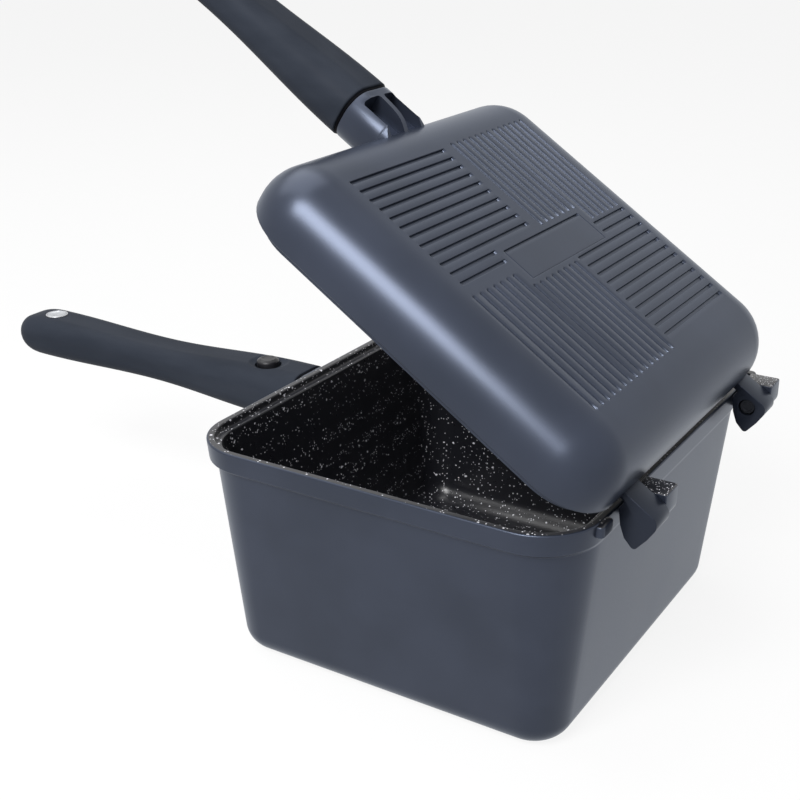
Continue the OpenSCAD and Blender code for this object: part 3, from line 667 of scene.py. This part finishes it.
# A lid arm: its outline is drawn about the hinge line, with the chin below it, and carried along it;
# then its bore is cut.
def lidArm(name, y, boreFrom, boreTo):
    outline = roundedPath([[arm["root"], arm["top"]], [arm["out"], arm["top"]], [arm["out"], -3], [7.3, -10],
                           [6, -10.8], [1, -9.6], [-3.6, -6.2], [-8.2, -1], [-8.3, 3.1], [arm["root"], 3.1]],
                          [0, 4.5, 3, 1.6, 1.6, 3, 3, 1.2, 0.4, 0], (0, 1), 6, True)
    points, faces = prism(outline + [hinge["x"], hinge["z"]], y, y + hinge["armThick"])
    # the arm takes the darker copy of the paint, which is painted shade
    made = soften(makePiece(name, swingOpen(points), faces, [shadedArmFinish]), arm["soft"])
    r = hinge["pinRadius"] + arm["boreSlack"]
    bore = lathe("cutter", [[0, y + boreFrom], [r, y + boreFrom], [r, y + boreTo], [0, y + boreTo]], "y",
                 swingOpen, 48)
    return shade(cutOut(made, [bore]))


for piece in [lidShell(), lidArm("armFront", hinge["armFront"], 3, 16),
              lidArm("armRear", hinge["armRear"], -2, 16), gripSocket("socketUpper", "upper")]:
    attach(piece, "lid")
    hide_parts("griddle_lid")
print("lid made")


# Each pin is a turned rod along the hinge line, from inside its arm into the lug beside it, with a
# chamfer at both ends and a shallow dimple in the end that shows.
for name, y, inArm in (("hinge_pin_front", hinge["armFront"], 10.0),
                       ("hinge_pin_rear", hinge["armRear"], 12.8)):
    r, high = hinge["pinRadius"], y + hinge["armThick"] + hinge["sideGap"] + 10.0
    low = y + hinge["armThick"] - inArm
    profile = [[0, low + 0.25], [r - 1.8, low + 0.25], [r - 1.6, low], [r - 0.6, low], [r, low + 0.6],
               [r, high - 0.5], [r - 0.5, high], [0, high]]
    pin = lathe(name.replace("hinge_pin", "pin"), profile, "y", asIs, 64, [pinFinish])
    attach(pin, "pan")
    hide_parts(name)


# A smooth step from 0 to 1, half a cosine wave.
def ease(t):
    return (1 - np.cos(math.pi * np.clip(t, 0, 1))) / 2


# Rounding of the grip at distance s from the joint: full at the root, slim at the waist, fuller
# again at the end.
def gripRound(s):
    toWaist = grip["roundRoot"] + (grip["roundWaist"] - grip["roundRoot"]) * ease(s / grip["waistAt"])
    toEnd = grip["roundWaist"] + (grip["roundEnd"] - grip["roundWaist"]) * ease(
        (s - grip["waistAt"]) / (grip["length"] - grip["waistAt"] - grip["fullBefore"]))
    return np.where(s < grip["waistAt"], toWaist, toEnd)


# Height of the grip's top at distance s from the joint.
def gripTop(s):
    climb = s * math.sin(math.radians(grip["tilt"]))
    return grip["z"] + grip["coreHigh"] + float(gripRound(np.array(s))) + climb


buttonX, magnetX = grip["jointX"] - grip["buttonAt"], grip["jointX"] - grip["magnetAt"]
buttonBase, magnetTop = gripTop(grip["buttonAt"]) - grip["dish"], gripTop(grip["magnetAt"])
wellFloor = grip["z"] - grip["tangDrop"] + grip["tangThick"] / 2 + grip["wellLift"]
bored = {"radius": 6.2, "wellMouth": 6.9, "seatMouth": 6.8, "seatDeep": 3.6, "above": 120.0}


# A grip: rounded rectangles stacked along its length. Over the last stretch, k from 0 to 1, the whole
# section shrinks as the root of 1 minus k to the power 2.7, and the thumb dish presses the top down
# onto a ball. Then the button's well and the magnet's seat are bored.
def gripBody(name, place, jointX):
    length, tip, start = grip["length"], grip["tip"], grip["jointX"] - jointX
    s = np.unique(np.concatenate([start + np.array([0.0, 0.25, 0.6]), np.arange(start + 1.2, 32, 0.7),
                                  np.arange(32, length - tip, 2.2),
                                  length - tip + tip * np.sin(np.linspace(0, math.pi / 2, 17))]))
    r = gripRound(s)
    k = np.clip((s - length + tip) / tip, 0, 1)
    shrink = np.sqrt(np.maximum(0, 1 - k ** 2.7))
    soft = np.interp(s - start, [0, 0.25, 0.6], [0.5, 0.15, 0.0])
    high = (grip["coreHigh"] + r) * shrink - soft
    wide = (grip["coreWide"] + r) * shrink ** 0.9 - soft
    corner = np.minimum(np.minimum(r * shrink ** 0.6, high), wide)
    rows = np.concatenate([[[0, 0, 0, 0, 0, start]], np.stack([-high, high, -wide, wide, corner, s], 1)])
    grid = ringStack(rows, np.linspace(0, 1, 5), np.linspace(0, 1, 21), 22)
    x, y, z = grid[:, :, 0], grid[:, :, 1], grid[:, :, 2]
    turn = math.radians(grip["tilt"] - 90)
    px = np.minimum(grip["jointX"] + x * math.cos(turn) + z * math.sin(turn), jointX)
    pz = grip["z"] - x * math.sin(turn) + z * math.cos(turn)
    rho, ball = np.hypot(px - buttonX, y), grip["dishBall"]
    dish = buttonBase + ball - np.sqrt(np.maximum(ball ** 2 - rho ** 2, 0))
    pz = np.where((rho < ball * 0.9) & (pz > grip["z"]), np.minimum(pz, dish), pz)
    points = np.stack([px, y, pz], 2).reshape(-1, 3)
    made = makePiece(name, place(points), gridFaces(*grid.shape[:2]), [gripFinish])
    hole, above, seatFloor = bored["radius"], bored["above"], magnetTop - bored["seatDeep"]
    well = [[0, wellFloor], [hole, wellFloor], [hole, buttonBase - 0.3], [bored["wellMouth"], buttonBase + 1.0],
            [bored["wellMouth"], above], [0, above]]
    seat = [[0, seatFloor], [hole, seatFloor], [hole, magnetTop - 0.5], [bored["seatMouth"], magnetTop + 0.1],
            [bored["seatMouth"], above], [0, above]]
    cutOut(made, [lathe("cutter", profile, "z", place, 64, centre=(at, 0, 0))
                  for profile, at in ((well, buttonX), (seat, magnetX))])
    return shade(made, 40)


ring = {"thick": 1.6, "inset": 0.75, "hollow": 9.6, "soft": 0.3}


# The dark joint plate: the grip's own section, drawn in by a little, with softened edges and a slot.
def jointRing(name, place, jointX):
    r, soft, thick = grip["roundRoot"] - ring["inset"], ring["soft"], ring["thick"]
    halfH, halfW = grip["coreHigh"] + r, grip["coreWide"] + r
    rows = [[-halfH + d, halfH - d, -halfW + d, halfW - d, r - d, z] for d, z in (
        (ring["hollow"], 0.0), (soft, 0.0), (0.0, soft), (0.0, thick - soft), (soft, thick),
        (ring["hollow"], thick), (ring["hollow"], 0.0))]
    grid = ringStack(rows, np.linspace(0, 1, 3), np.linspace(0, 1, 7), 14)
    flat = grid.reshape(-1, 3)
    points = np.stack([jointX + flat[:, 2], -flat[:, 1], grip["z"] + flat[:, 0]], 1)
    return makePiece(name, place(points), gridFaces(*grid.shape[:2]), [ringFinish])


spring = {"thick": 0.35, "coil": 3.1, "turns": 3.0, "low": wellFloor + 0.35, "high": buttonBase - 4.25}


# The return spring: a tube of radius thick about a helix of radius coil, three turns high, drawn to
# a point at both ends.
def returnSpring(name, place):
    along = np.linspace(0, 1, 97)[:, None]
    around = np.linspace(0, 2 * math.pi, 10, endpoint=False)[None, :]
    size = spring["thick"] * np.where((along == 0) | (along == 1), 0.0, 1.0)
    a = along * spring["turns"] * 2 * math.pi
    out = spring["coil"] + size * np.cos(around)
    z = spring["low"] + (spring["high"] - spring["low"]) * along + size * np.sin(around)
    points = np.stack([buttonX + out * np.cos(a), out * np.sin(a), z], 2)
    return makePiece(name, place(points.reshape(-1, 3)), gridFaces(97, 10), [steelFinish])


# turned fittings, as radius and height; cup and magnet stand on the grip's top
cup = [[0, -3.6], [5.9, -3.6], [6.2, -3.3], [6.2, 0.2], [6.0, 0.4], [5.35, 0.4], [5.2, 0.25], [5.2, -2.6],
       [0, -2.6]]
magnet = [[0, -2.6], [5.2, -2.6], [5.2, 0.15], [4.95, 0.4], [4.5, 0.4], [4.35, 0.32], [0, 0.32]]
plunger = {"radius": 2.0, "top": buttonBase + 1.8, "foot": grip["z"] - 5.6}
button = {"radius": 5.8, "foot": wellFloor + 3.4, "top": buttonBase + 4.6, "skirt": buttonBase - 0.4,
          "dip": 0.5}


# Everything that one side's grip carries, each with the body it rides on, its slot and its solid.
def gripParts(side, place, body, jointX):
    def turned(name, profile, z, x, around, finish):
        return lathe(side + name, np.array(profile) + [0, z], "z", place, around, [finish], (x, 0, 0))

    r, top, dip = button["radius"], button["top"], button["dip"]
    cap = roundedPath([[0, button["skirt"]], [r - 0.6, button["skirt"]], [r - 0.6, button["foot"]],
                       [r, button["foot"]], [r, top - 1.2], [r - 1.9, top], [2.4, top - dip], [0, top - dip]],
                      [0, 0.2, 0.15, 0.15, 1.3, 1.0, 1.4, 0], (0, 1), 6)
    rod, rodTop, rodFoot = plunger["radius"], plunger["top"], plunger["foot"]
    rodProfile = [[0, rodFoot], [rod - 0.5, rodFoot], [rod, rodFoot + 0.5], [rod, rodTop - 0.2],
                  [rod - 0.2, rodTop], [0, rodTop]]
    release = side + "_release"
    return [
        (gripBody(side + "Grip", place, jointX), body, "grip_plastic", side + "_grip"),
        (jointRing(side + "Ring", place, jointX), body, "ring_rubber", side + "_ring"),
        (turned("Cup", cup, magnetTop, magnetX, 72, steelFinish), body, "steel", side + "_cup"),
        (turned("Magnet", magnet, magnetTop, magnetX, 72, magnetFinish), body, "magnet_plate",
         side + "_magnet"),
        (returnSpring(side + "Spring", place), body, "steel", side + "_spring"),
        (turned("Button", cap, 0, buttonX, 72, buttonFinish), release, "button_plastic", side + "_button"),
        (turned("Plunger", rodProfile, 0, buttonX, 40, steelFinish), release, "steel", side + "_plunger"),
    ]


for side, place, body, jointX in (("lower", asIs, "pan", grip["lowerJointX"]),
                                  ("upper", turnOver, "lid", grip["jointX"])):
    for piece, ridesOn, slotName, stoodFor in gripParts(side, place, body, jointX):
        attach(piece, ridesOn)
        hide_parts(stoodFor)
    print(side, "grip made")


camera = {"place": (0.269544, -0.503259, 0.346862), "right": (0.84873484, 0.52877769, -0.00658188),
          "up": (-0.19663342, 0.32711906, 0.92429888), "back": (0.49090169, -0.78319044, 0.38161271),
          "lens": 59.376, "sensor": 36.0}
lens = bpy.data.cameras.new("camera")
lens.sensor_width, lens.lens, lens.clip_start, lens.clip_end = camera["sensor"], camera["lens"], 0.01, 20.0
eye = bpy.data.objects.new("camera", lens)
bpy.context.scene.collection.objects.link(eye)
columns = [Vector(camera[key]) for key in ("right", "up", "back", "place")]
eye.matrix_world = Matrix([[column[i] for column in columns] for i in range(3)] + [[0, 0, 0, 1]])
bpy.context.scene.camera = eye

lights = {
    "key": {"place": (0.04, -1.05, 1.15), "aim": (0.0, -0.05, 0.15), "size": (0.72, 0.56), "watts": 27.0},
    "overhead": {"place": (-0.55, 0.10, 1.45), "aim": (0.0, 0.0, 0.15), "size": (1.3, 1.3), "watts": 13.0},
}
for name, light in lights.items():
    lamp = bpy.data.lights.new(name, "AREA")
    lamp.shape, lamp.energy = "RECTANGLE", light["watts"]
    lamp.size, lamp.size_y = light["size"]
    stand = bpy.data.objects.new(name, lamp)
    bpy.context.scene.collection.objects.link(stand)
    stand.location = light["place"]
    stand.rotation_euler = (Vector(light["place"]) - Vector(light["aim"])).to_track_quat("Z", "Y").to_euler()


# 1 where the camera, a reflection or a see-through surface looks, 0 for the light that falls on things.
def looking(wire):
    seen = 0.0
    for ray in ("Is Camera Ray", "Is Glossy Ray", "Is Transmission Ray"):
        seen = wire.maths("MAXIMUM", seen, wire.node("ShaderNodeLightPath", out=ray))
    return seen


backdrop = {"fill": 0.20, "floorGlow": 0.88, "floorReach": 4000.0}
world = bpy.data.worlds.new("studio")
bpy.context.scene.world = world
world.use_nodes = True
world.node_tree.nodes.clear()
sky = Wire(world.node_tree)
strength = looking(sky) * (1.0 - backdrop["fill"]) + backdrop["fill"]
backing = sky.node("ShaderNodeBackground", sockets={"Color": (1, 1, 1, 1), "Strength": strength})
sky.node("ShaderNodeOutputWorld", sockets={0: backing})

# a plain pale floor that reads white to the camera and still takes the pan's shadow
floorFinish, wire, where = newFinish("paleFloor")
paper = noise(wire, where, 40.0, 2.0).rise(0.2, 0.8).blend((0.80, 0.80, 0.80, 1), (0.82, 0.82, 0.82, 1))
matte = wire.node("ShaderNodeBsdfPrincipled", sockets={"Base Color": paper, "Roughness": 0.9})
glow = wire.node("ShaderNodeEmission", sockets={"Color": (1, 1, 1, 1), "Strength": 1.0})
mixed = wire.node("ShaderNodeMixShader", sockets={0: looking(wire) * backdrop["floorGlow"], 1: matte, 2: glow})
wire.node("ShaderNodeOutputMaterial", sockets={0: mixed})
floorPoints = np.array([[-1, -1, 0], [1, -1, 0], [1, 1, 0], [-1, 1, 0]]) * backdrop["floorReach"]
floor = makePiece("floor", floorPoints, [[0, 1, 2, 3]], [floorFinish], weld=0)

# the two tangs keep their own solids
for name in ("pan_tang", "lid_tang"):
    cadNodes[name].data.materials.clear()
    cadNodes[name].data.materials.append(steelFinish)

bpy.context.scene.view_settings.view_transform = "Standard"
bpy.context.view_layer.update()
print("scene ready")
